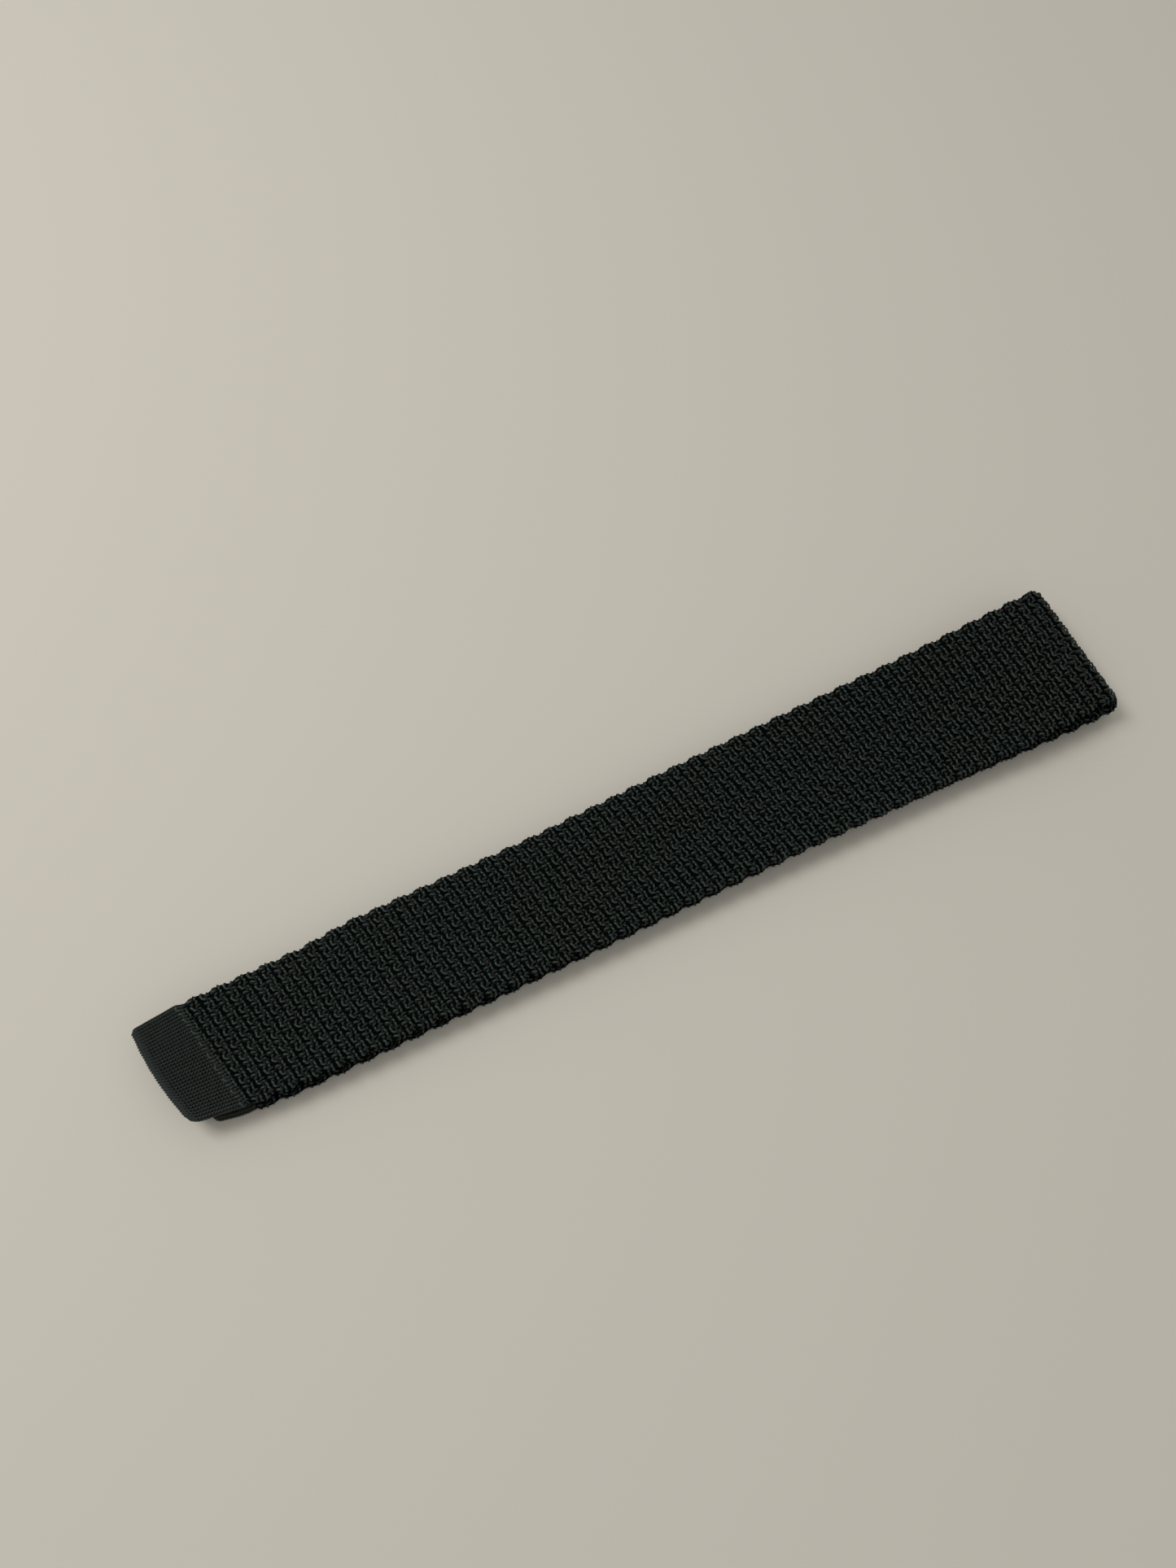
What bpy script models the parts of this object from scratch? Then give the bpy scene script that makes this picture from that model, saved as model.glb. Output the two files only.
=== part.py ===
"""A square-ended knitted necktie, folded in zigzag into four layers.

The tie is one flattened knitted tube, about 1.48 m long when it is laid out. Each layer of the
folded tie is a stiff flat, and each fold is a round bend of the same tube about its hinge, half
way between the two layers that it joins. Layers count from the top: the blade's lower half, the
blade's upper half, the tail's upper half and the tail's lower half, which lies on the table. +X
runs along the tie, from its two hems to the first fold, +Y is across it and +Z is up. Sizes are
in metres.
"""
import bpy
from math import cos, pi, sin

# The knitted tube: two plies with a slit between them.
THICKNESS = 0.0023
SLIT = 0.0009
PLY = (THICKNESS - SLIT) / 2
GAP = 0.0003
ARC_STEPS = 6
BEND_STEPS = 16

# Heights of the four layers' middle planes.
TAIL_LOWER_Z = THICKNESS / 2
TAIL_UPPER_Z = TAIL_LOWER_Z + THICKNESS + GAP
BLADE_UPPER_Z = TAIL_UPPER_Z + THICKNESS + GAP
TRIM_THICKNESS = 0.0005
BLADE_LOWER_Z = BLADE_UPPER_Z + THICKNESS + TRIM_THICKNESS + 2 * GAP
BLADE_BACK_Z = BLADE_LOWER_Z - THICKNESS / 2 - GAP

# The folds: where each hinge stands, and how far the top layer lifts into the open first fold.
FOLD_A_X = 0.3678
FOLD_B_X = 0.0052
FOLD_C_X = 0.3706
FOLD_A_LIFT = 0.0028
LIFT_STARTS = 0.295
LIFT_LENGTH = 0.062
FOLD_A_TOP_Z = BLADE_LOWER_Z + FOLD_A_LIFT

# Outlines of the layers: place along the tie, near edge, far edge.
BLADE_BAND_END = 0.0148
BLADE_LOWER_EDGES = [
    (0.0, -0.0191, 0.0196),
    (BLADE_BAND_END, -0.0208, 0.0211),
    (0.030, -0.0221, 0.0213),
    (0.060, -0.0225, 0.0216),
    (0.080, -0.0226, 0.0236),
    (0.150, -0.0229, 0.0242),
    (0.210, -0.0227, 0.0266),
    (0.300, -0.0234, 0.0292),
    (0.330, -0.0240, 0.0302),
    (0.350, -0.0244, 0.0307),
    (0.362, -0.0248, 0.0309),
    (FOLD_A_X, -0.0250, 0.0300),
]
BLADE_UPPER_EDGES = [
    (FOLD_B_X, -0.0160, 0.0165),
    (0.100, -0.0172, 0.0180),
    (0.200, -0.0205, 0.0225),
    (0.300, -0.0238, 0.0280),
    (0.350, -0.0248, 0.0300),
    (FOLD_A_X, -0.0250, 0.0300),
]
TAIL_UPPER_EDGES = [
    (FOLD_B_X, -0.0160, 0.0165),
    (0.100, -0.0168, 0.0175),
    (0.220, -0.0190, 0.0200),
    (0.320, -0.0215, 0.0225),
    (FOLD_C_X, -0.0230, 0.0240),
]
TAIL_HEM_X = 0.0107
TAIL_BAND_END = 0.0253
TAIL_LOWER_EDGES = [
    (TAIL_HEM_X, -0.0196, 0.0190),
    (TAIL_BAND_END, -0.0220, 0.0198),
    (0.045, -0.0230, 0.0206),
    (0.150, -0.0226, 0.0216),
    (0.240, -0.0217, 0.0226),
    (0.320, -0.0226, 0.0235),
    (FOLD_C_X, -0.0230, 0.0240),
]

# Each hem is cut on a slant, which the knit loses again over the next stretch.
BLADE_HEM_SLANT = -0.232
TAIL_HEM_SLANT = 0.232
SLANT_FADES_OVER = 0.150

# The lining tape in the neck stretch, the keeper loop, the label and the thread.
TAPE_THICKNESS = 0.0003
TAPE_WIDTH = 0.020
TAPE_FROM = 0.009
TAPE_TO = 0.150
KEEPER_X = 0.185
KEEPER_LENGTH = 0.032
KEEPER_WIDTH = 0.008
LABEL_X = 0.110
LABEL_SIZE = (0.030, 0.018)
LABEL_THICKNESS = 0.0003
THREAD = 0.0003
STITCH_SWING = 0.0006
SEAM_WIDTH = 0.034
SEAM_STITCHES = 24
HEM_TO_SEAM = 0.0018
TACK_WIDTH = 0.0014

COLOURS = {
    "knit": ((0.0060, 0.0105, 0.0088), 0.62),
    "band": ((0.0068, 0.0118, 0.0100), 0.58),
    "thread": ((0.0050, 0.0085, 0.0070), 0.55),
    "tape": ((0.0150, 0.0190, 0.0170), 0.70),
    "label": ((0.5500, 0.5300, 0.4800), 0.75),
}


def clear_scene():
    for item in list(bpy.data.objects):
        bpy.data.objects.remove(item, do_unlink=True)


def material(name, look):
    colour, roughness = COLOURS[look]
    made = bpy.data.materials.new(name)
    made.use_nodes = True
    shader = made.node_tree.nodes["Principled BSDF"]
    shader.inputs["Base Color"].default_value = (*colour, 1.0)
    shader.inputs["Roughness"].default_value = roughness
    shader.inputs["Metallic"].default_value = 0.0
    return made


def add_object(name, points, faces, look, parent):
    mesh = bpy.data.meshes.new(name)
    mesh.from_pydata(points, [], faces)
    mesh.validate()
    mesh.materials.append(material(name, look))
    item = bpy.data.objects.new(name, mesh)
    bpy.context.collection.objects.link(item)
    item.parent = parent
    item.matrix_parent_inverse = parent.matrix_world.inverted()
    return item


def add_empty(name, place, parent=None):
    item = bpy.data.objects.new(name, None)
    item.empty_display_size = 0.01
    bpy.context.collection.objects.link(item)
    item.location = place
    if parent:
        bpy.context.view_layer.update()
        item.parent = parent
        item.matrix_parent_inverse = parent.matrix_world.inverted()
    bpy.context.view_layer.update()
    return item


def smooth_step(value):
    value = min(1.0, max(0.0, value))
    return value * value * (3 - 2 * value)


def lift_of_blade(x):
    """The top layer rises smoothly into the open first fold."""
    return FOLD_A_LIFT * smooth_step((x - LIFT_STARTS) / LIFT_LENGTH)


def faded_slant(slant, distance):
    """The slant of the rows of stitches at a distance past the hem band."""
    return slant * (1 - smooth_step(distance / SLANT_FADES_OVER))


def oval(near, far, thickness):
    """The outline of a flattened tube, as (y, z) about its middle plane."""
    radius = thickness / 2
    outline = []
    for centre, start in ((near + radius, pi / 2), (far - radius, -pi / 2)):
        for step in range(ARC_STEPS + 1):
            angle = start + pi * step / ARC_STEPS
            outline.append((centre + radius * cos(angle), radius * sin(angle)))
    return outline


def knit_tube(name, stations, parent, look="knit"):
    """A flattened tube, open at both ends, through stations (x, near, far, middle z, slant)."""
    points = []
    for x, near, far, middle, slant in stations:
        outer = oval(near, far, THICKNESS)
        inner = oval(near + PLY, far - PLY, SLIT)
        points += [(x + slant * y, y, middle + z) for y, z in outer + inner]
    ring = len(outer)
    last = len(stations) - 1
    faces = []
    for number in range(last):
        start = 2 * ring * number
        after = start + 2 * ring
        for step in range(ring):
            follow = (step + 1) % ring
            faces.append((start + step, start + follow, after + follow, after + step))
            faces.append((start + ring + step, after + ring + step,
                          after + ring + follow, start + ring + follow))
    end = 2 * ring * last
    for step in range(ring):
        follow = (step + 1) % ring
        faces.append((step, ring + step, ring + follow, follow))
        faces.append((end + step, end + follow, end + ring + follow, end + ring + step))
    return add_object(name, points, faces, look, parent)


def fold_bend(name, edges, low_z, high_z, outward, parent):
    """The round bend of the tube about its hinge, from the layer below to the layer above.

    edges is the row of the outline where the bend starts. outward is the way that it bulges in x.
    """
    x, near, far = edges
    middle = (low_z + high_z) / 2
    inner = (high_z - low_z - THICKNESS) / 2
    outer = inner + THICKNESS
    points = []
    for step in range(BEND_STEPS + 1):
        angle = pi * (step / BEND_STEPS - 0.5)
        for radius, y in ((inner, near), (outer, near), (outer, far), (inner, far)):
            reach = GAP / 2 + radius * cos(angle)
            points.append((x + outward * reach, y, middle + radius * sin(angle)))
    faces = [(3, 2, 1, 0)]
    for step in range(BEND_STEPS):
        start = 4 * step
        for side in range(4):
            follow = (side + 1) % 4
            faces.append((start + side, start + follow, start + 4 + follow, start + 4 + side))
    end = 4 * BEND_STEPS
    faces.append((end, end + 1, end + 2, end + 3))
    if outward < 0:
        faces = [tuple(reversed(face)) for face in faces]
    return add_object(name, points, faces, "knit", parent)


def flat_block(name, centre, size, look, parent):
    """A flat block, its size (along, across, thick) about its centre."""
    corners = [(a, b, c) for c in (-0.5, 0.5) for a, b in
               ((-0.5, -0.5), (0.5, -0.5), (0.5, 0.5), (-0.5, 0.5))]
    points = [tuple(centre[axis] + corner[axis] * size[axis] for axis in range(3))
              for corner in corners]
    faces = [(3, 2, 1, 0), (4, 5, 6, 7), (0, 1, 5, 4), (1, 2, 6, 5), (2, 3, 7, 6), (3, 0, 4, 7)]
    return add_object(name, points, faces, look, parent)


def seam_thread(name, x, z, width, stitches, parent, slant=0.0):
    """A row of zigzag stitches across the tie, as one running thread."""
    points = []
    for number in range(stitches + 1):
        y = width * (number / stitches - 0.5)
        swing = STITCH_SWING if number % 2 else -STITCH_SWING
        middle = x + swing + slant * y
        points += [(middle + side * THREAD / 2, y, z + up * THREAD / 2)
                   for side, up in ((-1, -1), (1, -1), (1, 1), (-1, 1))]
    faces = [(0, 1, 2, 3)]
    for number in range(stitches):
        start = 4 * number
        for step in range(4):
            follow = (step + 1) % 4
            faces.append((start + step, start + 4 + step, start + 4 + follow, start + follow))
    end = 4 * stitches
    faces.append((end + 3, end + 2, end + 1, end))
    return add_object(name, points, faces, "thread", parent)


def layer_stations(edges, z, lift=None, slant=0.0, band_end=0.0):
    """Stations of a layer: its edges with its height and the slant of its rows."""
    return [(x, near, far, z + (lift(x) if lift else 0.0), faded_slant(slant, x - band_end))
            for x, near, far in edges]


def trimmed(stations, start=0.0, end=0.0):
    """The same stations, with the first and the last moved in along the tie."""
    first, last = stations[0], stations[-1]
    return [(first[0] + start, *first[1:]), *stations[1:-1], (last[0] - end, *last[1:])]


def make_tail_lower(body):
    """The lowest layer, which lies on the table: the tail's lower half with its hem."""
    stations = layer_stations(TAIL_LOWER_EDGES, TAIL_LOWER_Z,
                              slant=TAIL_HEM_SLANT, band_end=TAIL_BAND_END)
    knit_tube("tail_hem_band", stations[:2], body, look="band")
    knit_tube("tail_lower_tube", trimmed(stations[1:], start=GAP, end=GAP / 2), body)
    seam_thread("tail_hem_thread", TAIL_HEM_X + HEM_TO_SEAM, TAIL_LOWER_Z,
                SEAM_WIDTH, SEAM_STITCHES, body, TAIL_HEM_SLANT)


def make_neck_tape(side, z, body):
    """The woven tape that keeps the neck stretch from growing, and the thread across its end."""
    centre = ((TAPE_FROM + TAPE_TO) / 2, 0.0, z)
    flat_block(f"neck_tape_{side}_side", centre,
               (TAPE_TO - TAPE_FROM, TAPE_WIDTH, TAPE_THICKNESS), "tape", body)
    thread_x = TAPE_TO + GAP + STITCH_SWING + THREAD
    seam_thread(f"neck_tape_thread_{side}_side", thread_x, z, TAPE_WIDTH, 12, body)


def make_tail_upper(body):
    stations = layer_stations(TAIL_UPPER_EDGES, TAIL_UPPER_Z)
    knit_tube("tail_upper_tube", trimmed(stations, start=GAP / 2, end=GAP / 2), body)
    make_neck_tape("tail", TAIL_UPPER_Z, body)


def make_blade_upper(body):
    stations = layer_stations(BLADE_UPPER_EDGES, BLADE_UPPER_Z)
    knit_tube("blade_upper_tube", trimmed(stations, start=GAP / 2, end=GAP / 2), body)
    make_neck_tape("blade", BLADE_UPPER_Z, body)


def make_blade_lower(body):
    """The top layer: the blade's lower half, its hem, and the keeper and label on its back."""
    stations = layer_stations(BLADE_LOWER_EDGES, BLADE_LOWER_Z, lift_of_blade,
                              BLADE_HEM_SLANT, BLADE_BAND_END)
    knit_tube("blade_hem_band", stations[:2], body, look="band")
    knit_tube("blade_lower_tube", trimmed(stations[1:], start=GAP, end=GAP / 2), body)
    seam_thread("blade_hem_thread", HEM_TO_SEAM, BLADE_LOWER_Z,
                SEAM_WIDTH, SEAM_STITCHES, body, BLADE_HEM_SLANT)
    make_keeper(body)
    make_label(body)


def make_keeper(body):
    """The loop on the blade's back that holds the tail, with a bar tack at each of its ends."""
    strap_z = BLADE_BACK_Z - TRIM_THICKNESS / 2
    flat_block("keeper_loop", (KEEPER_X, 0.0, strap_z),
               (KEEPER_WIDTH, KEEPER_LENGTH, TRIM_THICKNESS), "band", body)
    reach = KEEPER_LENGTH / 2 + GAP + TACK_WIDTH / 2
    for side, y in (("near", -reach), ("far", reach)):
        flat_block(f"keeper_bar_tack_{side}", (KEEPER_X, y, strap_z),
                   (KEEPER_WIDTH, TACK_WIDTH, TRIM_THICKNESS), "thread", body)


def make_label(body):
    """A blank care label, sewn along its two short ends."""
    z = BLADE_BACK_Z - LABEL_THICKNESS / 2
    flat_block("care_label", (LABEL_X, 0.0, z), (*LABEL_SIZE, LABEL_THICKNESS), "label", body)
    reach = LABEL_SIZE[0] / 2 + GAP + STITCH_SWING + THREAD
    for end, x in (("hem_end", LABEL_X - reach), ("fold_end", LABEL_X + reach)):
        seam_thread(f"care_label_thread_{end}", x, z, LABEL_SIZE[1], 10, body)


def outline_box():
    """The lowest and highest corners of everything that has a mesh."""
    bpy.context.view_layer.update()
    places = [item.matrix_world @ vertex.co for item in bpy.data.objects if item.type == "MESH"
              for vertex in item.data.vertices]
    low = [min(place[axis] for place in places) for axis in range(3)]
    high = [max(place[axis] for place in places) for axis in range(3)]
    return low, high


def main():
    clear_scene()
    root = add_empty("necktie", (0.0, 0.0, 0.0))
    make_tail_lower(root)
    fold_bend("fold_c_bend", TAIL_UPPER_EDGES[-1], TAIL_LOWER_Z, TAIL_UPPER_Z, 1, root)

    fold_c_z = (TAIL_LOWER_Z + TAIL_UPPER_Z) / 2
    tail_upper = add_empty("fold_c_axis", (FOLD_C_X, 0.0, fold_c_z), root)
    make_tail_upper(tail_upper)
    fold_bend("fold_b_bend", TAIL_UPPER_EDGES[0], TAIL_UPPER_Z, BLADE_UPPER_Z, -1, tail_upper)

    fold_b_z = (TAIL_UPPER_Z + BLADE_UPPER_Z) / 2
    blade_upper = add_empty("fold_b_axis", (FOLD_B_X, 0.0, fold_b_z), tail_upper)
    make_blade_upper(blade_upper)
    fold_bend("fold_a_bend", BLADE_LOWER_EDGES[-1], BLADE_UPPER_Z, FOLD_A_TOP_Z, 1, blade_upper)

    fold_a_z = (BLADE_UPPER_Z + FOLD_A_TOP_Z) / 2
    blade_lower = add_empty("fold_a_axis", (FOLD_A_X, 0.0, fold_a_z), blade_upper)
    make_blade_lower(blade_lower)

    low, high = outline_box()
    root.location = [-(low[0] + high[0]) / 2, -(low[1] + high[1]) / 2, -low[2]]
    bpy.context.view_layer.update()


main()
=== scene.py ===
"""The visual model of a square-ended knitted necktie, folded in zigzag into four layers.

The whole tie is one flattened tube, described as a strip: u runs along it from the blade's hem,
round the three folds, to the tail's hem. The stitches are modelled yarn by yarn. Each course is
one closed ring of yarn round the tube, and the rings lie on a thin ground tube, painted dark as
shade. Sizes are in metres, and the shapes of the stitches are in millimetres.
"""
import bpy
import numpy as np
from math import pi
from mathutils import Matrix, Vector


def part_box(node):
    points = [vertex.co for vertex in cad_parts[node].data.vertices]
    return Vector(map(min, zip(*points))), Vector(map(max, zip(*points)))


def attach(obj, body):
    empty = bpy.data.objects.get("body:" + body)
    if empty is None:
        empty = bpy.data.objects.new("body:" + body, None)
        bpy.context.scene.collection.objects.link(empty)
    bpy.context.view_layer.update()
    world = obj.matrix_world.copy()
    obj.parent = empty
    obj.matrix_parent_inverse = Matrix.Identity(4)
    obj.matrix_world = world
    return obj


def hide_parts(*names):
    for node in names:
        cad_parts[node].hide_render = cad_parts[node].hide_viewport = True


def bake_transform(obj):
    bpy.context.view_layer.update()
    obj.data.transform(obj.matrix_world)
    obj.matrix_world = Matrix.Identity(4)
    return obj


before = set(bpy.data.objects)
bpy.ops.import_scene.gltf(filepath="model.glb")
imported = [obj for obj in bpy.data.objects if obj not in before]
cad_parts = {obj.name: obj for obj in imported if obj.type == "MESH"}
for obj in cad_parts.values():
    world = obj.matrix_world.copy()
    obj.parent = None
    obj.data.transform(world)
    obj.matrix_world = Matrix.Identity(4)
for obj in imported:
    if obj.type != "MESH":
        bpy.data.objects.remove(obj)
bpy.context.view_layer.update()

MM = 0.001

# Where the pattern's own axes lie in the row frame.
ORIGIN_X = -0.184326
ORIGIN_Y = -0.00295

# Heights of the four layers' middle planes, and the folds between them.
HALF = 0.00115
TAIL_LOWER_Z = 0.00115
TAIL_UPPER_Z = 0.00375
BLADE_UPPER_Z = 0.00635
BLADE_LOWER_Z = 0.00975
FOLD_A_LIFT = 0.0028
FOLD_A_X = 0.3678
FOLD_B_X = 0.0052
FOLD_C_X = 0.3706
FOLD_A_RADIUS = (BLADE_LOWER_Z + FOLD_A_LIFT - BLADE_UPPER_Z) / 2
FOLD_B_RADIUS = (BLADE_UPPER_Z - TAIL_UPPER_Z) / 2
FOLD_C_RADIUS = (TAIL_UPPER_Z - TAIL_LOWER_Z) / 2
BLADE_BAND_END = 0.0148
TAIL_BAND_END = 0.0253
# The tail's hem stops short of its CAD solid, to let the blade's hem pass when fold B opens.
TAIL_HEM_X = 0.0123
# The blade's top layer rises towards fold A, over this stretch.
LIFT_START = 0.295
LIFT_LENGTH = 0.062
# The hems are not square to the tie: they move along by this share of y.
HEM_SLANT = 0.232

# The inner ply of a tight fold stays this far from the fold's axis.
LEAST_REACH = 0.00005

# Outlines of the layers: place along the tie, near edge, far edge.
BLADE_LOWER_EDGES = [
    (0.0, -0.0191, 0.0196), (0.0148, -0.0208, 0.0211), (0.030, -0.0221, 0.0213),
    (0.060, -0.0225, 0.0216), (0.080, -0.0226, 0.0236), (0.150, -0.0229, 0.0242),
    (0.210, -0.0227, 0.0266), (0.300, -0.0234, 0.0292), (0.330, -0.0238, 0.0299),
    (0.350, -0.0230, 0.0306), (0.362, -0.0224, 0.0312), (FOLD_A_X, -0.0222, 0.0311),
]
# The near and far edges half way round fold A.
FOLD_A_NOSE = (-0.0238, 0.0302)
BLADE_UPPER_EDGES = [
    (FOLD_B_X, -0.0160, 0.0165), (0.100, -0.0172, 0.0180), (0.200, -0.0205, 0.0225),
    (0.300, -0.0238, 0.0280), (0.350, -0.0252, 0.0300), (FOLD_A_X, -0.0252, 0.0300),
]
TAIL_UPPER_EDGES = [
    (FOLD_B_X, -0.0160, 0.0165), (0.100, -0.0168, 0.0175), (0.220, -0.0190, 0.0200),
    (0.320, -0.0215, 0.0225), (FOLD_C_X, -0.0230, 0.0240),
]
TAIL_LOWER_EDGES = [
    (TAIL_HEM_X, -0.0196, 0.0190), (TAIL_BAND_END, -0.0220, 0.0198), (0.045, -0.0230, 0.0206),
    (0.150, -0.0226, 0.0216), (0.240, -0.0217, 0.0226), (0.320, -0.0226, 0.0235),
    (FOLD_C_X, -0.0230, 0.0240),
]

# Where each stretch of the strip starts and ends.
BLADE_LOWER_END = FOLD_A_X
FOLD_A_END = BLADE_LOWER_END + pi * FOLD_A_RADIUS
BLADE_UPPER_END = FOLD_A_END + FOLD_A_X - FOLD_B_X
FOLD_B_END = BLADE_UPPER_END + pi * FOLD_B_RADIUS
TAIL_UPPER_END = FOLD_B_END + FOLD_C_X - FOLD_B_X
FOLD_C_END = TAIL_UPPER_END + pi * FOLD_C_RADIUS
TAIL_BAND_START = FOLD_C_END + FOLD_C_X - TAIL_BAND_END
STRIP_END = FOLD_C_END + FOLD_C_X - TAIL_HEM_X

# The patterned knit: repeats round the tube, and in millimetres the width of a repeat, the yarn's
# radius where it lies deep, how much it swells on a crown, and the depth at which a crown starts.
REPEATS = 17
REPEAT_WIDTH = 5.73
YARN_RADIUS = 0.33
YARN_SWELL = 0.11
CROWN_DEPTH = 0.85

# How finely the knit is drawn: points in a repeat, sides of the yarn, and its extra depth in mm.
TOP_KNIT = (44, 5, 0.20)
FOLD_KNIT = (40, 5, 0.20)
HIDDEN_KNIT = (28, 4, 0.32)

# Unevenness of the courses, slow and quick: along the tie, outward, and round the tube.
SLOW_ALONG = 0.00010
QUICK_ALONG = 0.00012
SLOW_OUTWARD = 0.00005
QUICK_OUTWARD = 0.00006
SLOW_ROUND = 0.0008
MIDDLE_ROUND = 0.0006
QUICK_ROUND = 0.0010

# The calmer knit near fold A: where it starts, how fast it comes and goes, and what it does.
CALM_START = 0.352
CALM_RISE = 0.012
CALM_FALL = 0.006
CALM_FLATTEN = 0.45
CALM_SINK = 0.00022
CALM_STRETCH = 0.25
CALM_DIM = 0.22

# The edges and hems: the turn that stitches take at an edge, how little they bulge there, the
# scallops, the blade hem's bulge, the rounded corners, and how thin the very hem is, squared.
ARC_REFERENCE = 0.00075
EDGE_EVENNESS = 0.72
SCALLOP = 0.0010
COURSES_PER_SCALLOP = 4
BAND_FADE = 0.004
HEM_BELLY = 0.0021
HEM_HALF_WIDTH = 0.0215
NEAR_CORNER = 0.0032
FAR_CORNER = 0.0012
HEM_THINNEST = 0.0025

# The ground's two walls, below the outline.
GROUND_WALLS = (-0.00095, -0.00105)

# The plain knit of the hem bands, four stitches to a repeat. Near the hem its ribs fade away.
BAND_PITCH = 0.00100
BAND_STITCHES = 4 * REPEATS
BAND_RADIUS = 0.24
BAND_DEPTH = 0.42
BAND_LOOP = 0.00060
BAND_OVERLAP = 0.0024
RIBS_START = 0.0012
RIBS_FADE = 0.0030

# The twist of a yarn: its strands, and the length of one turn in the knit and in the bands.
TWIST_STRANDS = 3
KNIT_TWIST = 0.0016
BAND_TWIST = 0.0012

# The woven strips: how far their rims thin, and their slight wave.
RIM_FALL = 0.30
STRIP_WAVE = 0.00004

# Radii of the threads, the margin, swing and stitches of the bar tacks, and the nub's height.
THREAD_RADIUS = 0.00015
TACK_RADIUS = 0.00019
TACK_MARGIN = 0.0004
TACK_SWING = 0.0005
TACK_STITCHES = 20
LOOSE_RADIUS = 0.00004
NUB_RADIUS = 0.00034
NUB_HEIGHT = 0.0003

# One repeat of the two yarns that take turns, as (across, along, outward) in millimetres.
# The first shows two bumps of a tall bar, a dot and a faint crossing, the second a hooked bump
# of two, a slanted bump and a flat arc.
BAR_AND_DOT = [
    (-2.36, 0.24, -0.84), (-2.14, 0.24, -0.40), (-1.75, 0.24, -0.16), (-1.30, 0.24, -0.16),
    (-1.00, 0.26, -0.48), (-0.70, 0.28, -0.62), (-0.42, 0.29, -0.30), (-0.05, 0.29, -0.10),
    (0.32, 0.29, -0.30), (0.52, 0.32, -0.80), (0.75, 0.70, -0.92), (0.98, 0.55, -0.88),
    (1.12, 0.20, -0.66), (1.30, 0.16, -0.36), (1.47, 0.16, -0.27), (1.64, 0.14, -0.40),
    (1.82, 0.02, -0.74), (2.05, -0.60, -0.90), (2.40, -1.10, -0.86), (2.74, -0.85, -0.62),
    (2.92, -0.30, -0.50), (3.04, 0.35, -0.50), (3.10, 0.80, -0.66), (3.20, 0.50, -0.88),
]
BUMP_AND_ARC = [
    (-1.44, 1.10, -0.82), (-1.42, 0.84, -0.42), (-1.38, 0.55, -0.20), (-1.28, 0.20, -0.14),
    (-1.00, 0.02, -0.17), (-0.60, 0.00, -0.14), (-0.20, 0.00, -0.03), (0.08, 0.00, 0.02),
    (0.32, 0.00, -0.20), (0.46, 0.10, -0.74), (0.66, 0.45, -0.92), (0.86, 0.30, -0.88),
    (1.02, 0.18, -0.64), (1.14, 0.30, -0.38), (1.28, 0.52, -0.30), (1.42, 0.74, -0.42),
    (1.54, 0.92, -0.76), (1.80, 0.95, -0.92), (2.15, 0.30, -0.92), (2.50, -0.40, -0.84),
    (2.80, -0.42, -0.58), (2.86, -0.14, -0.28), (2.80, 0.20, -0.16), (2.68, 0.55, -0.16),
    (2.56, 0.88, -0.30), (2.46, 1.12, -0.72), (2.62, 1.45, -0.92), (3.20, 1.45, -0.94),
    (3.88, 1.30, -0.92),
]


def smooth_step(value):
    """Goes from 0 to 1 as the value does, with level ends."""
    value = np.clip(value, 0.0, 1.0)
    return value * value * (3 - 2 * value)


def strip_table():
    """Edges along the whole strip: (u, near, far) rows, with the u of every layer's stations."""
    rows = [(x, near, far) for x, near, far in BLADE_LOWER_EDGES]
    rows.append((BLADE_LOWER_END + pi * FOLD_A_RADIUS / 2, *FOLD_A_NOSE))
    rows += [(FOLD_A_END + FOLD_A_X - x, near, far) for x, near, far in BLADE_UPPER_EDGES[::-1]]
    rows += [(FOLD_B_END + x - FOLD_B_X, near, far) for x, near, far in TAIL_UPPER_EDGES]
    rows += [(FOLD_C_END + FOLD_C_X - x, near, far) for x, near, far in TAIL_LOWER_EDGES[::-1]]
    return np.array(rows)


EDGE_TABLE = strip_table()

# How far the rows of stitches lean: at a place u, a row moves along by this share of y.
LEAN_TABLE = np.array([
    (0.0, -HEM_SLANT), (BLADE_BAND_END, -HEM_SLANT), (0.045, -0.200), (0.120, -0.190),
    (0.240, -0.180), (0.340, 0.0), (FOLD_C_END, 0.0), (STRIP_END - 0.160, 0.0),
    (STRIP_END - 0.0146, -HEM_SLANT), (STRIP_END, -HEM_SLANT),
])

# The pitch of the courses along the strip, in metres.
PITCH_TABLE = np.array([
    (0.0, 0.002125), (0.120, 0.00213), (0.220, 0.00220), (0.330, 0.00234), (0.380, 0.00234),
    (0.480, 0.00220), (STRIP_END, 0.00220),
])


def course_places():
    """The u of every course of the patterned knit, from the blade's band to the tail's band."""
    places = [BLADE_BAND_END + 0.0010]
    while places[-1] < TAIL_BAND_START - 0.0030:
        places.append(places[-1] + np.interp(places[-1], PITCH_TABLE[:, 0], PITCH_TABLE[:, 1]))
    return np.array(places)


COURSES = course_places()
COURSE_NUMBERS = np.arange(len(COURSES))


def scallop(u):
    """How far the edges stand out: one rounded bump to every four courses."""
    phase = np.interp(u, COURSES, COURSE_NUMBERS) / COURSES_PER_SCALLOP + 0.25
    wave = np.abs(np.cos(pi * phase)) - 0.6
    fade = smooth_step((u - BLADE_BAND_END + BAND_FADE) / (2 * BAND_FADE))
    return SCALLOP * wave * fade * smooth_step((TAIL_BAND_START + BAND_FADE - u) / (2 * BAND_FADE))


def corner(u, radius):
    """How far an edge pulls in at a hem's rounded corner."""
    short = 1 - np.clip(np.minimum(u, STRIP_END - u) / radius, 0, 1)
    return radius * (1 - np.sqrt(1 - short ** 2))


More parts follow.
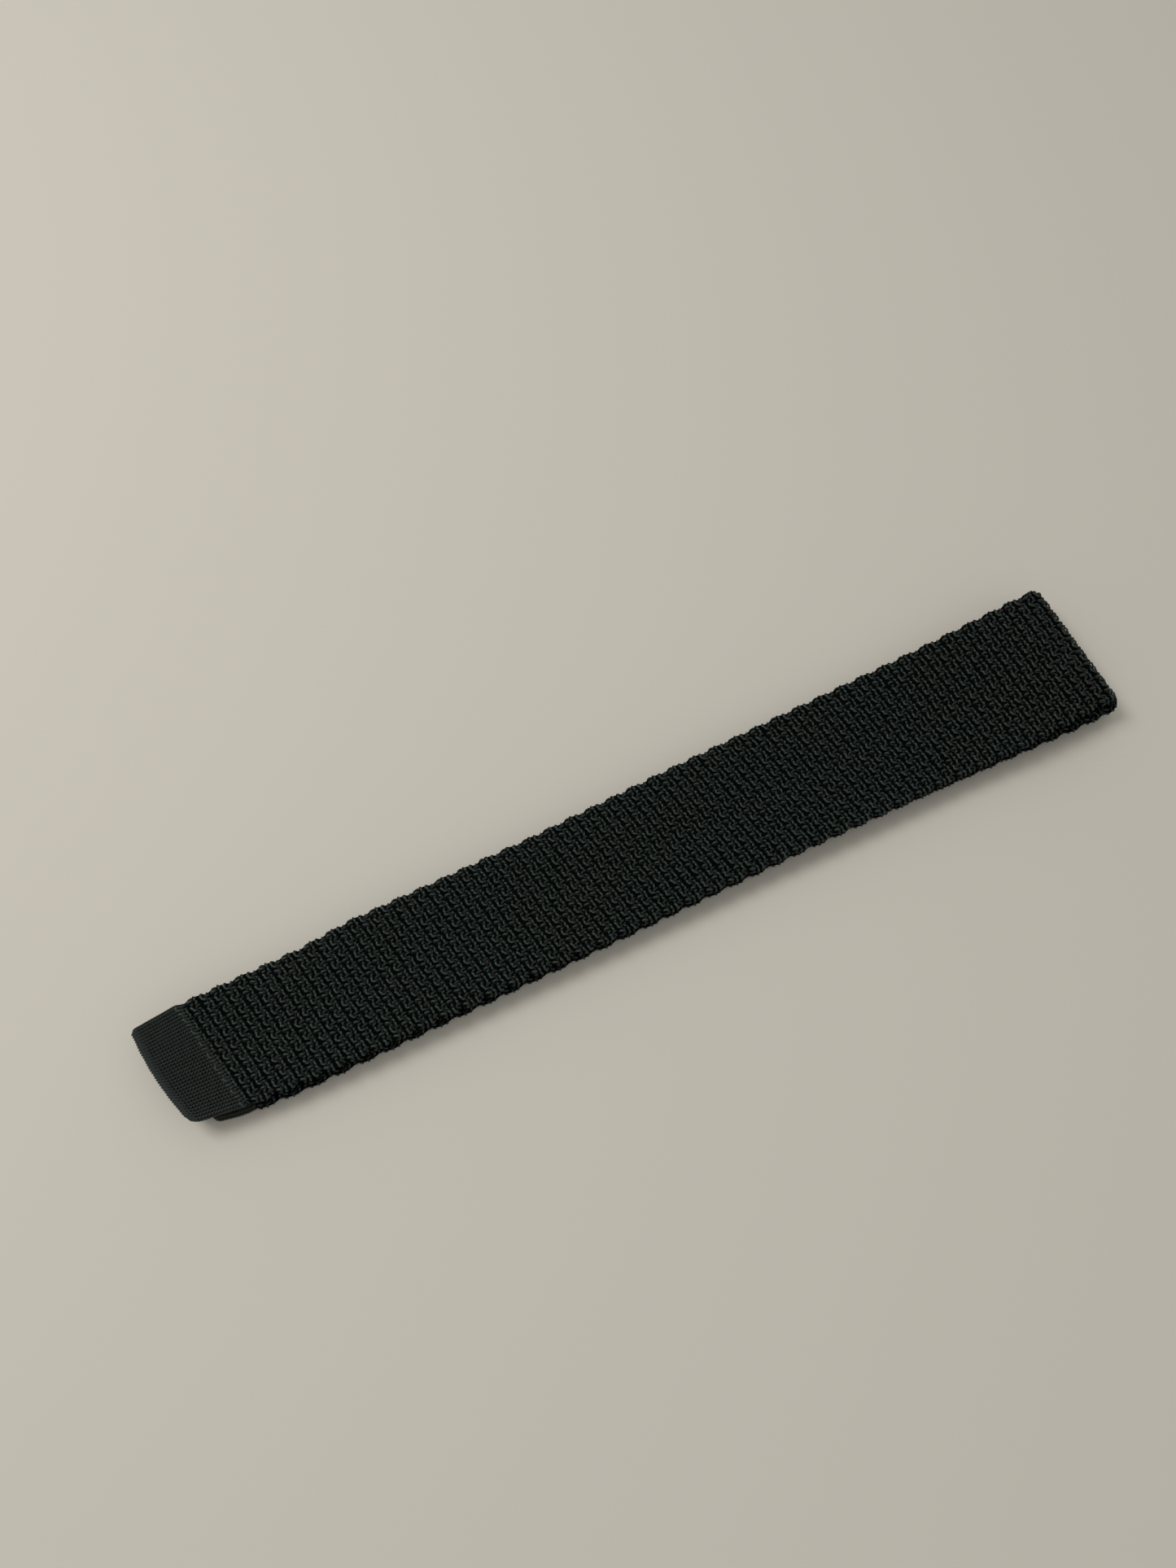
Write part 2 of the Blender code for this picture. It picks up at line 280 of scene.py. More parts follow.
def edges_at(u):
    """The near and far edges at u, with the scallops and the hems' corners."""
    near = np.interp(u, EDGE_TABLE[:, 0], EDGE_TABLE[:, 1])
    far = np.interp(u, EDGE_TABLE[:, 0], EDGE_TABLE[:, 2])
    bump = scallop(u)
    return near + corner(u, NEAR_CORNER) - bump, far - corner(u, FAR_CORNER) + bump


def lift_of_blade(x):
    """How far the top layer stands above its plane."""
    return FOLD_A_LIFT * smooth_step((x - LIFT_START) / LIFT_LENGTH)


def fold_up(u, y, w):
    """Places on the strip, in the row frame. w is the height above the strip's middle plane.

    Returns the points and the direction in which w grows there.
    """
    hinge_a = BLADE_UPPER_Z + FOLD_A_RADIUS
    hinge_b = TAIL_UPPER_Z + FOLD_B_RADIUS
    hinge_c = TAIL_LOWER_Z + FOLD_C_RADIUS
    turn_a = (u - BLADE_LOWER_END) / FOLD_A_RADIUS
    turn_b = (u - BLADE_UPPER_END) / FOLD_B_RADIUS
    turn_c = (u - TAIL_UPPER_END) / FOLD_C_RADIUS
    reach_a = FOLD_A_RADIUS + w
    reach_b = np.maximum(FOLD_B_RADIUS - w, LEAST_REACH)
    reach_c = np.maximum(FOLD_C_RADIUS + w, LEAST_REACH)
    where = [u < BLADE_LOWER_END, u < FOLD_A_END, u < BLADE_UPPER_END, u < FOLD_B_END,
             u < TAIL_UPPER_END, u < FOLD_C_END]
    level = np.ones_like(u)
    none = np.zeros_like(u)
    x = np.select(where, [
        u,
        FOLD_A_X + reach_a * np.sin(turn_a),
        FOLD_A_X - (u - FOLD_A_END),
        FOLD_B_X - reach_b * np.sin(turn_b),
        FOLD_B_X + (u - FOLD_B_END),
        FOLD_C_X + reach_c * np.sin(turn_c),
    ], FOLD_C_X - (u - FOLD_C_END))
    z = np.select(where, [
        BLADE_LOWER_Z + lift_of_blade(u) + w,
        hinge_a + reach_a * np.cos(turn_a),
        BLADE_UPPER_Z - w,
        hinge_b + reach_b * np.cos(turn_b),
        TAIL_UPPER_Z + w,
        hinge_c + reach_c * np.cos(turn_c),
    ], TAIL_LOWER_Z - w)
    grow_x = np.select(where, [none, np.sin(turn_a), none, np.sin(turn_b),
                               none, np.sin(turn_c)], none)
    grow_z = np.select(where, [level, np.cos(turn_a), -level, -np.cos(turn_b),
                               level, np.cos(turn_c)], -level)
    points = np.stack([x + ORIGIN_X, y + ORIGIN_Y, z], axis=-1)
    grow = np.stack([grow_x, none, grow_z], axis=-1)
    return points, grow


def around(share, near, far, outward):
    """The outline of the flattened tube: y, w and the outward direction (y, w) at a share of it.

    The share runs from the middle of the outer face towards the far edge. outward is the
    distance from the outline, negative inside.
    """
    flat = far - near - 2 * HALF
    arc = pi * ARC_REFERENCE
    place = np.mod(share, 1.0) * (2 * flat + 2 * arc)
    middle = (near + far) / 2
    far_turn = np.clip((place - flat / 2) / ARC_REFERENCE, 0, pi)
    near_turn = np.clip((place - 1.5 * flat - arc) / ARC_REFERENCE, 0, pi)
    bulge = np.maximum(np.sin(far_turn), np.sin(near_turn)) ** 2
    reach = HALF + outward * (1 - EDGE_EVENNESS * bulge)
    where = [place < flat / 2, place < flat / 2 + arc, place < 1.5 * flat + arc,
             place < 1.5 * flat + 2 * arc]
    y = np.select(where, [
        middle + place,
        far - HALF + reach * np.sin(far_turn),
        far - HALF - (place - flat / 2 - arc),
        near + HALF - reach * np.sin(near_turn),
    ], near + HALF + (place - 1.5 * flat - 2 * arc))
    w = np.select(where, [
        reach, reach * np.cos(far_turn), -reach, -reach * np.cos(near_turn)], reach)
    out_y = np.where(near_turn > 0, -np.sin(near_turn), np.sin(far_turn))
    out_w = np.where(near_turn > 0, -np.cos(near_turn), np.cos(far_turn))
    return y, w, out_y, out_w


def place_on_tie(u_row, share, along, outward, hem_round=0.0):
    """Points on the folded tie for a row of stitches at u_row, and the outward direction there.

    share is how far round the tube, along and outward are distances from the row and the outline,
    and the tube closes over hem_round at its hems.
    """
    lean = np.interp(u_row, LEAN_TABLE[:, 0], LEAN_TABLE[:, 1])
    near, far = edges_at(u_row)
    first_y = around(share, near, far, outward)[0]
    u = u_row + lean * first_y + along
    near, far = edges_at(u_row + along)
    y, w, out_y, out_w = around(share, near, far, outward)
    to_blade_hem = 1 - u_row / BLADE_BAND_END
    to_tail_hem = (u_row - TAIL_BAND_START) / (STRIP_END - TAIL_BAND_START)
    u = u - (HEM_BELLY * np.clip(1 - (y / HEM_HALF_WIDTH) ** 2, 0, 1)
             * np.clip(np.maximum(to_blade_hem, to_tail_hem), 0, 1))
    if hem_round:
        end = np.clip(np.minimum(u_row + along, STRIP_END - (u_row + along)) / hem_round, 0, 1)
        w = w * np.sqrt(np.clip(1 - (1 - end) ** 2, HEM_THINNEST, 1))
    points, grow = fold_up(u, y, w)
    out = out_w[..., None] * grow
    out[..., 1] += out_y
    return points, out


def repeat_path(controls, count):
    """A repeat of a yarn, evenly spaced along its length: (across, along, outward) in mm."""
    knots = np.array(controls)
    steps = len(knots)
    after = knots.copy()
    after[:, 0] += REPEAT_WIDTH
    before = knots.copy()
    before[:, 0] -= REPEAT_WIDTH
    chain = np.concatenate([before[-1:], knots, after[:2]])
    dense = []
    for number in range(steps):
        a, b, c, d = chain[number:number + 4]
        for t in np.linspace(0, 1, 12, endpoint=False):
            dense.append(0.5 * (2 * b + (c - a) * t + (2 * a - 5 * b + 4 * c - d) * t * t
                                + (3 * b - a - 3 * c + d) * t ** 3))
    dense.append(knots[0] + np.array([REPEAT_WIDTH, 0, 0]))
    dense = np.array(dense)
    length = np.concatenate([[0], np.cumsum(np.linalg.norm(np.diff(dense, axis=0), axis=1))])
    at = np.linspace(0, length[-1], count, endpoint=False)
    return np.stack([np.interp(at, length, dense[:, axis]) for axis in range(3)], axis=1)


def new_mesh(name, points, quads, uv=None):
    """An object with these points and four-sided faces, smooth, in the scene."""
    mesh = bpy.data.meshes.new(name)
    mesh.vertices.add(len(points))
    mesh.vertices.foreach_set("co", np.ascontiguousarray(points, np.float32).ravel())
    mesh.loops.add(4 * len(quads))
    mesh.loops.foreach_set("vertex_index", np.ascontiguousarray(quads, np.int32).ravel())
    mesh.polygons.add(len(quads))
    mesh.polygons.foreach_set("loop_start", np.arange(0, 4 * len(quads), 4, dtype=np.int32))
    mesh.polygons.foreach_set("use_smooth", np.ones(len(quads), bool))
    if uv is not None:
        layer = mesh.uv_layers.new(name="Yarn")
        layer.data.foreach_set("uv", np.ascontiguousarray(uv, np.float32).ravel())
    mesh.update(calc_edges=True)
    item = bpy.data.objects.new(name, mesh)
    bpy.context.collection.objects.link(item)
    return item


def yarn_piece(name, centres, outs, heights, radius, sides, twist_length):
    """Closed rings of round yarn. centres and outs are arrays of rings by points by 3.

    heights says how near the outside each point is, from 0 to 1; the material paints shade from it.
    """
    rings, count = centres.shape[:2]
    tangent = np.roll(centres, -1, axis=1) - np.roll(centres, 1, axis=1)
    tangent /= np.linalg.norm(tangent, axis=2, keepdims=True)
    side = np.cross(tangent, outs)
    side /= np.maximum(np.linalg.norm(side, axis=2, keepdims=True), 1e-9)
    up = np.cross(side, tangent)
    turn = 2 * pi * np.arange(sides) / sides
    radius = np.broadcast_to(radius, (rings, count))[..., None, None]
    points = centres[:, :, None, :] + radius * (
        np.cos(turn)[None, None, :, None] * up[:, :, None, :]
        + np.sin(turn)[None, None, :, None] * side[:, :, None, :])
    ring = np.arange(rings)[:, None, None] * count * sides
    step = np.arange(count)[None, :, None]
    edge = np.arange(sides)[None, None, :]
    here = ring + step * sides
    after = ring + (step + 1) % count * sides
    follow = (edge + 1) % sides
    quads = np.stack([here + edge, after + edge, after + follow, here + follow], axis=-1)
    length = np.linalg.norm(np.roll(centres, -1, axis=1) - centres, axis=2)
    start = np.cumsum(length, axis=1) - length
    along0 = np.broadcast_to((start / twist_length)[:, :, None], quads.shape[:3])
    along1 = np.broadcast_to(((start + length) / twist_length)[:, :, None], quads.shape[:3])
    low = np.broadcast_to(edge / sides, quads.shape[:3])
    high = low + 1 / sides
    uv = np.stack([np.stack([along0, low], -1), np.stack([along1, low], -1),
                   np.stack([along1, high], -1), np.stack([along0, high], -1)], axis=-2)
    item = new_mesh(name, points.reshape(-1, 3), quads.reshape(-1, 4), uv)
    crown = item.data.attributes.new("Crown", "FLOAT", "POINT")
    crown.data.foreach_set("value", np.repeat(heights.ravel(), sides).astype(np.float32))
    return item


def knit_courses(numbers, points_per_repeat, sunk):
    """Centre lines of these courses of the patterned knit, as rings by points by 3."""
    paths = [repeat_path(shape, points_per_repeat) for shape in (BUMP_AND_ARC, BAR_AND_DOT)]
    seeded = np.random.default_rng(11)
    wobble = seeded.normal(0, 1, (len(COURSES), 6))
    centres, outs, heights = [], [], []
    for number in numbers:
        path = paths[number % 2]
        start = (number + 1) // 2 / (2 * REPEATS)
        repeat = np.arange(REPEATS)[:, None]
        share = (start + (repeat + path[None, :, 0] / REPEAT_WIDTH) / REPEATS).ravel()
        along = np.tile(path[:, 1], REPEATS) * MM
        outward = (np.tile(path[:, 2], REPEATS) - sunk) * MM
        turn = 2 * pi * share
        a, b, c, d, e, f = wobble[number]
        along = along + SLOW_ALONG * (np.sin(3 * turn + a) + np.sin(7 * turn + b))
        along = along + QUICK_ALONG * (np.sin(37 * turn + c) + np.sin(61 * turn + d))
        outward = outward + SLOW_OUTWARD * (np.sin(5 * turn + c) + np.sin(11 * turn + d))
        outward = outward + QUICK_OUTWARD * (np.sin(43 * turn + e) + np.sin(71 * turn + f))
        share = share + SLOW_ROUND * np.sin(4 * turn + e) + MIDDLE_ROUND * np.sin(9 * turn + f)
        share = share + QUICK_ROUND * (np.sin(29 * turn + a) + np.sin(53 * turn + b))
        calm = (smooth_step((COURSES[number] - CALM_START) / CALM_RISE)
                * smooth_step((FOLD_A_END + CALM_FALL - COURSES[number]) / CALM_FALL))
        outward = outward * (1 - CALM_FLATTEN * calm) - CALM_SINK * calm
        along = along * (1 + CALM_STRETCH * calm)
        u_row = np.full_like(share, COURSES[number])
        place, out = place_on_tie(u_row, share, along, outward)
        centres.append(place)
        outs.append(out)
        # How near the outside each point lies: it swells the yarn and sets the painted shade in its
        # dips.
        crown = np.clip(1 + np.tile(path[:, 2], REPEATS) / CROWN_DEPTH, 0, 1)
        heights.append(crown * (1 - CALM_DIM * calm))
    return np.array(centres), np.array(outs), np.array(heights)


def band_rows(start, end):
    """The u of a band's rows, closer together where the hem rolls round its end."""
    turns = np.linspace(0.35, pi / 2, 5)
    rolled = HALF * (1 - np.cos(turns))
    straight = np.arange(rolled[-1] + BAND_PITCH * 0.8, end - start, BAND_PITCH)
    return start + np.concatenate([rolled, straight])


def band_courses(rows, points_per_stitch, sunk):
    """Centre lines of plain stitches. Each stitch's two legs stand up as one rib along the tie."""
    count = BAND_STITCHES * points_per_stitch
    turn = 2 * pi * np.arange(count) / points_per_stitch
    seeded = np.random.default_rng(5)
    centres, outs, heights = [], [], []
    for u_row in rows:
        a, b = seeded.uniform(0, 2 * pi, 2)
        from_hem = min(u_row, STRIP_END - u_row)
        ribbed = 0.15 + 0.85 * smooth_step((from_hem - RIBS_START) / RIBS_FADE)
        share = (turn / (2 * pi) - 0.055 * np.sin(turn)) / BAND_STITCHES
        along = BAND_LOOP * np.cos(turn) * (1 + 0.12 * np.sin(turn / 7 + a))
        rise = ribbed * (0.60 * np.cos(turn) - 0.45 * np.cos(2 * turn) - 0.15)
        outward = (-BAND_DEPTH + BAND_DEPTH * rise - sunk) * MM + SLOW_OUTWARD * np.sin(turn / 9 + b)
        place, out = place_on_tie(np.full(count, u_row), share, along, outward, HALF)
        centres.append(place)
        outs.append(out)
        # Low heights in the valleys between the ribs paint shade there.
        heights.append(np.clip(0.60 + 0.55 * rise, 0, 1))
    return np.array(centres), np.array(outs), np.array(heights)


# ---------------------------------------------------------------- materials


def new_material(name):
    """A material, with its node tree and its shader."""
    made = bpy.data.materials.new(name)
    made.use_nodes = True
    return made, made.node_tree, made.node_tree.nodes["Principled BSDF"]


def feed(tree, socket, value):
    """Gives a socket another node's output, or a constant."""
    if isinstance(value, bpy.types.NodeSocket):
        tree.links.new(value, socket)
    else:
        socket.default_value = value


def noise(tree, scale, detail=2.0):
    """Noise fixed to the object, as a factor."""
    coords = tree.nodes.new("ShaderNodeTexCoord")
    texture = tree.nodes.new("ShaderNodeTexNoise")
    texture.inputs["Scale"].default_value = scale
    texture.inputs["Detail"].default_value = detail
    feed(tree, texture.inputs["Vector"], coords.outputs["Object"])
    return texture.outputs["Fac"]


def maths(tree, operation, *values):
    """One Math node on these values."""
    node = tree.nodes.new("ShaderNodeMath")
    node.operation = operation
    for socket, value in zip(node.inputs, values):
        feed(tree, socket, value)
    return node.outputs[0]


def map_range(tree, value, from_range=(0.0, 1.0), to_range=(0.0, 1.0)):
    """The value, moved from one range to another and kept inside it."""
    node = tree.nodes.new("ShaderNodeMapRange")
    node.inputs["From Min"].default_value, node.inputs["From Max"].default_value = from_range
    node.inputs["To Min"].default_value, node.inputs["To Max"].default_value = to_range
    feed(tree, node.inputs["Value"], value)
    return node.outputs["Result"]


def colour_ramp(tree, factor, low, high, places=(0.0, 1.0)):
    """From one colour to another as the factor goes between two places."""
    ramp = tree.nodes.new("ShaderNodeValToRGB")
    for number, colour in enumerate((low, high)):
        ramp.color_ramp.elements[number].position = places[number]
        ramp.color_ramp.elements[number].color = (*colour, 1.0)
    feed(tree, ramp.inputs["Fac"], factor)
    return ramp.outputs["Color"]


def mix_colours(tree, factor, first, second, blend_type="MIX"):
    node = tree.nodes.new("ShaderNodeMix")
    node.data_type = "RGBA"
    node.blend_type = blend_type
    colours = [socket for socket in node.inputs if socket.type == "RGBA"]
    feed(tree, node.inputs["Factor"], factor)
    feed(tree, colours[0], first)
    feed(tree, colours[1], second)
    return [socket for socket in node.outputs if socket.type == "RGBA"][0]


def add_bump(tree, shader, height, strength, distance):
    """Bump from a height, on the shader."""
    bump = tree.nodes.new("ShaderNodeBump")
    bump.inputs["Strength"].default_value = strength
    bump.inputs["Distance"].default_value = distance
    feed(tree, bump.inputs["Height"], height)
    feed(tree, shader.inputs["Normal"], bump.outputs["Normal"])


def scaled(colour, factor):
    return [part * factor for part in colour]


def yarn_material(name, dip_shade, crown, mottle, roughness, sheen):
    """Knitting yarn, mottled, with a twist, and darker where it dips between its neighbours: painted
    shade.

    The first colour is painted shade for where it dips, crown is its own colour where it stands up,
    and roughness is the pair of values that go with them.
    """
    made, tree, shader = new_material(name)
    shader.inputs["Specular IOR Level"].default_value = 0.5
    shader.inputs["Sheen Weight"].default_value = sheen
    shader.inputs["Sheen Roughness"].default_value = 0.45
    shader.inputs["Sheen Tint"].default_value = (0.72, 0.86, 0.80, 1.0)

    height = tree.nodes.new("ShaderNodeAttribute")
    height.attribute_name = "Crown"
    # Painted shade: low Crown heights pull the colour towards the dip colour.
    shade = map_range(tree, height.outputs["Fac"], (0.25, 1.05))
    patches = colour_ramp(tree, noise(tree, 900.0, 3.0), scaled(crown, 1 - mottle),
                          scaled(crown, 1 + mottle), (0.30, 0.70))
    hue = colour_ramp(tree, noise(tree, 32.0), (1.12, 1.00, 0.86), (0.80, 1.02, 1.04), (0.35, 0.62))
    tinted = mix_colours(tree, 1.0, patches, hue, "MULTIPLY")
    feed(tree, shader.inputs["Base Color"], mix_colours(tree, shade, (*dip_shade, 1.0), tinted))
    feed(tree, shader.inputs["Roughness"], map_range(tree, shade, to_range=roughness))

    yarn = tree.nodes.new("ShaderNodeUVMap")
    yarn.uv_map = "Yarn"
    apart = tree.nodes.new("ShaderNodeSeparateXYZ")
    feed(tree, apart.inputs["Vector"], yarn.outputs["UV"])
    turns = maths(tree, "ADD", apart.outputs["X"], apart.outputs["Y"])
    twist = maths(tree, "SINE", maths(tree, "MULTIPLY", turns, TWIST_STRANDS * 2 * pi))
    add_bump(tree, shader, twist, 0.35, 0.00006)
    return made


def ground_material(name, colour):
    """The ground between the stitches, painted nearly black as shade, with a fine grain."""
    made, tree, shader = new_material(name)
    shader.inputs["Roughness"].default_value = 1.0
    shader.inputs["Specular IOR Level"].default_value = 0.0
    grain = noise(tree, 1400.0)
    shades = colour_ramp(tree, grain, scaled(colour, 0.5), scaled(colour, 1.5))
    feed(tree, shader.inputs["Base Color"], shades)
    add_bump(tree, shader, grain, 0.5, 0.0001)
    return made


def woven_material(name, dark, light, threads_per_metre, roughness):
    """Flat narrow weave: rows of crossing threads in the bump and in the colour."""
    made, tree, shader = new_material(name)
    shader.inputs["Roughness"].default_value = roughness
    shader.inputs["Specular IOR Level"].default_value = 0.3
    shader.inputs["Sheen Weight"].default_value = 0.1
    coords = tree.nodes.new("ShaderNodeTexCoord")
    weave = tree.nodes.new("ShaderNodeTexChecker")
    weave.inputs["Scale"].default_value = threads_per_metre
    feed(tree, weave.inputs["Vector"], coords.outputs["Object"])
    grain = noise(tree, threads_per_metre * 0.7)
    height = maths(tree, "MULTIPLY_ADD", weave.outputs["Fac"], 0.5, grain)
    feed(tree, shader.inputs["Base Color"], colour_ramp(tree, height, dark, light, (0.2, 1.0)))
    add_bump(tree, shader, height, 0.4, 0.00008)
    return made


# In the knit and band yarns the first colour is painted shade for where the yarn dips.
KNIT = yarn_material("knit_yarn", (0.0024, 0.0046, 0.0038), (0.015, 0.030, 0.0235),
                     0.42, (0.90, 0.40), 0.05)
BAND = yarn_material("band_yarn", (0.0012, 0.0022, 0.0019), (0.014, 0.025, 0.021),
                     0.35, (0.90, 0.46), 0.04)
# The tail band's yarn is lighter and olive: a painted reflection of the paper on the lower layer's
# side.
TAIL_BAND = yarn_material("tail_band_yarn_painted_reflection", (0.012, 0.0125, 0.010), (0.030, 0.031, 0.025),
                          0.20, (0.85, 0.50), 0.10)
THREAD = yarn_material("sewing_thread", (0.010, 0.017, 0.014), (0.014, 0.024, 0.020),
                       0.15, (0.6, 0.5), 0.05)
# The ground's near-black colour is painted shade for the holes between the stitches.
GROUND = ground_material("knit_ground", (0.0018, 0.0031, 0.0027))
TAPE = woven_material("neck_tape", (0.010, 0.014, 0.012), (0.022, 0.028, 0.025), 2600, 0.75)
STRAP = woven_material("keeper_strap", (0.008, 0.014, 0.012), (0.016, 0.027, 0.022), 2200, 0.65)
LABEL = woven_material("care_label", (0.46, 0.44, 0.39), (0.60, 0.58, 0.53), 3200, 0.8)


# ---------------------------------------------------------------- the tie


def ground_ring():
    """Shares of the way round the tube, close together at its two edges."""
    edge = np.linspace(-0.030, 0.030, 13)
    across = np.linspace(-0.21, 0.21, 12)
    return np.sort(np.concatenate([0.25 + edge, 0.75 + edge, across, 0.5 + across]) % 1.0)


GROUND_RING = ground_ring()


def ground_tube(name, start, end, step=0.0014):
    """The thin double wall under the stitches, between two places on the strip."""
    places = np.linspace(start, end, max(2, int(np.ceil((end - start) / step)) + 1))
    rolls = HALF * (1 - np.cos(np.linspace(0.1, pi / 2, 6)))
    if start == 0.0:
        places = np.concatenate([start + rolls, places[1:]])
    if end == STRIP_END:
        places = np.concatenate([places[:-1], end - rolls[::-1]])
    u = places[:, None]
    share = GROUND_RING[None, :]
    u, share = np.broadcast_arrays(u, share)
    walls = []
    for outward in GROUND_WALLS:
        points, _ = place_on_tie(u, share, np.zeros_like(u), np.full_like(u, outward), HALF)
        walls.append(points)
    rows, ring = u.shape
    points = np.concatenate([wall.reshape(-1, 3) for wall in walls])
    inner = rows * ring
    quads = []
    for row in range(rows - 1):
        for number in range(ring):
            follow = (number + 1) % ring
            a, b = row * ring + number, row * ring + follow
            c, d = b + ring, a + ring
            quads.append((a, b, c, d))
            quads.append((inner + d, inner + c, inner + b, inner + a))
    for number in range(ring):
        follow = (number + 1) % ring
        last = (rows - 1) * ring
        quads.append((number, inner + number, inner + follow, follow))
        quads.append((last + number, last + follow, inner + last + follow, inner + last + number))
    item = new_mesh(name, points, np.array(quads))
    item.data.materials.append(GROUND)
    return item


def knit_pieces(name, start, end, count, points_per_repeat, sides, sunk):
    """The courses between two places on the strip, shared among a number of pieces."""
    numbers = np.nonzero((COURSES >= start) & (COURSES < end))[0]
    made = []
    for index, group in enumerate(np.array_split(numbers, count)):
        centres, outs, heights = knit_courses(group, points_per_repeat, sunk)
        radius = (YARN_RADIUS + YARN_SWELL * heights) * MM
        item = yarn_piece(f"{name}_knit_{index + 1}", centres, outs, heights, radius, sides,
                          KNIT_TWIST)
        item.data.materials.append(KNIT)
        made.append(item)
    return made


def band_piece(name, rows, sunk, material):
    """A hem band, all its rows in one piece."""
    centres, outs, heights = band_courses(rows, 8, sunk)
    item = yarn_piece(name, centres, outs, heights, BAND_RADIUS * MM, 4, BAND_TWIST)
    item.data.materials.append(material)
    return item


def ride_layer(body, ground, pieces, tube_node):
    """A layer's pieces ride on its body, and its ground stands for the CAD tube."""
    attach(ground, body)
    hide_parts(tube_node)
    for item in pieces:
        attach(item, body)


def blend_fold(pieces):
    """Bakes each piece's transform into its mesh, and reads its points."""
    for item in pieces:
        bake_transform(item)
        places = np.empty(3 * len(item.data.vertices), np.float32)
        item.data.vertices.foreach_get("co", places)
        places = places.reshape(-1, 3)


def fold_pieces(name, start, end, node):
    """The ground and the knit of a fold, which stand for its CAD bend."""
    ground = ground_tube(f"{name}_ground", start, end, step=0.0006)
    made = knit_pieces(name, start, end, 1, *FOLD_KNIT)
    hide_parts(node)
    return [ground, *made]


def riding_piece(name, points, faces, material, body, nodes):
    """A smooth piece with these faces, which rides on a body and stands for these CAD nodes."""
    mesh = bpy.data.meshes.new(name)
    mesh.from_pydata(points.tolist(), [], faces)
    mesh.polygons.foreach_set("use_smooth", np.ones(len(faces), bool))
    mesh.materials.append(material)
    item = bpy.data.objects.new(name, mesh)
    bpy.context.collection.objects.link(item)
    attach(item, body)
    if nodes:
        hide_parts(*nodes)
    return item


def thread_piece(name, places, body, nodes, radius=THREAD_RADIUS, sides=6):
    """One running thread through these places, as a round closed tube."""
    line = np.array(places, float)
    length = np.concatenate([[0], np.cumsum(np.linalg.norm(np.diff(line, axis=0), axis=1))])
    at = np.linspace(0, length[-1], 8 * len(line))
    line = np.stack([np.interp(at, length, line[:, axis]) for axis in range(3)], axis=1)
    for _ in range(3):
        line[1:-1] = (line[:-2] + 2 * line[1:-1] + line[2:]) / 4
    tangent = np.gradient(line, axis=0)
    tangent /= np.linalg.norm(tangent, axis=1, keepdims=True)
    side = np.cross(tangent, np.array([0.0, 0.0, 1.0]))
    side /= np.linalg.norm(side, axis=1, keepdims=True)
    up = np.cross(side, tangent)
    turn = 2 * pi * np.arange(sides) / sides
    points = line[:, None] + radius * (np.cos(turn)[None, :, None] * up[:, None]
                                       + np.sin(turn)[None, :, None] * side[:, None])
    rows = len(line)
    points = np.concatenate([points.reshape(-1, 3), line[:1], line[-1:]])
    step = np.arange(rows - 1)[:, None] * sides
    edge = np.arange(sides)[None, :]
    follow = (edge + 1) % sides
    quads = np.stack([step + edge, step + sides + edge, step + sides + follow, step + follow],
                     axis=-1).reshape(-1, 4)
    faces = [tuple(quad) for quad in quads.tolist()]
    last = (rows - 1) * sides
    faces += [(rows * sides, number, (number + 1) % sides) for number in range(sides)]
    faces += [(rows * sides + 1, last + (number + 1) % sides, last + number)
              for number in range(sides)]
    return riding_piece(name, points, faces, THREAD, body, nodes)


def strip_piece(name, node, body, material, steps):
    """A thin woven strip in the box of its CAD node, with soft edges and a slight wave."""
    low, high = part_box(node)
    (x0, y0, z0), (x1, y1, z1) = tuple(low), tuple(high)
    rows, columns = steps
    s, t = np.meshgrid(np.linspace(0, 1, rows + 1), np.linspace(0, 1, columns + 1), indexing="ij")
    rim = np.minimum(np.minimum(s, 1 - s) * rows, np.minimum(t, 1 - t) * columns)
    fall = np.where(rim < 0.5, RIM_FALL, 0.0)
    middle = (z0 + z1) / 2 + STRIP_WAVE * np.sin(9 * s) * np.cos(5 * t + 1.0)
    half = (z1 - z0) / 2 * (1 - fall)
    x, y = x0 + (x1 - x0) * s, y0 + (y1 - y0) * t
    top = np.stack([x, y, middle + half], axis=-1).reshape(-1, 3)
    bottom = np.stack([x, y, middle - half], axis=-1).reshape(-1, 3)
    count = len(top)
    faces = []
    for row in range(rows):
        for column in range(columns):
            a = row * (columns + 1) + column
            b, c, d = a + columns + 1, a + columns + 2, a + 1
            faces.append((a, b, c, d))
            faces.append((count + d, count + c, count + b, count + a))
    rim_loop = [row * (columns + 1) for row in range(rows + 1)]
    rim_loop += [rows * (columns + 1) + column for column in range(1, columns + 1)]
    rim_loop += [row * (columns + 1) + columns for row in range(rows - 1, -1, -1)]
    rim_loop += list(range(columns - 1, 0, -1))
    for here, after in zip(rim_loop, rim_loop[1:] + rim_loop[:1]):
        faces.append((here, count + here, count + after, after))
    points = np.concatenate([top, bottom])
    return riding_piece(name, points, faces, material, body, [node])


def zigzag(node, stitches, slant=0.0, belly=0.0):
    """The places of a zigzag thread across the box of its CAD node, with the hem's belly."""
    low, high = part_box(node)
    reach = (high.y - low.y) / 2
    swing = (high.x - low.x) / 2 - abs(slant) * reach - THREAD_RADIUS
    middle = (low + high) / 2
    places = []
    for number in range(stitches + 1):
        y = reach * (2 * number / stitches - 1) * 0.995
        from_middle = (middle.y + y - ORIGIN_Y) / HEM_HALF_WIDTH
        x = middle.x + slant * y + (swing if number % 2 else -swing)
        x += belly * max(1 - from_middle ** 2, 0)
        places.append((x, middle.y + y, middle.z))
    return places


blade_ground = ground_tube("blade_lower_ground", 0.0, BLADE_LOWER_END)
blade_knit = knit_pieces("blade_lower", BLADE_BAND_END, BLADE_LOWER_END, 7, *TOP_KNIT)
blade_band = band_piece("blade_hem_knit", band_rows(0.0, BLADE_BAND_END + BAND_OVERLAP), 0.10, BAND)
ride_layer("blade_lower", blade_ground, [*blade_knit, blade_band], "blade_lower_tube")
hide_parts("blade_hem_band")

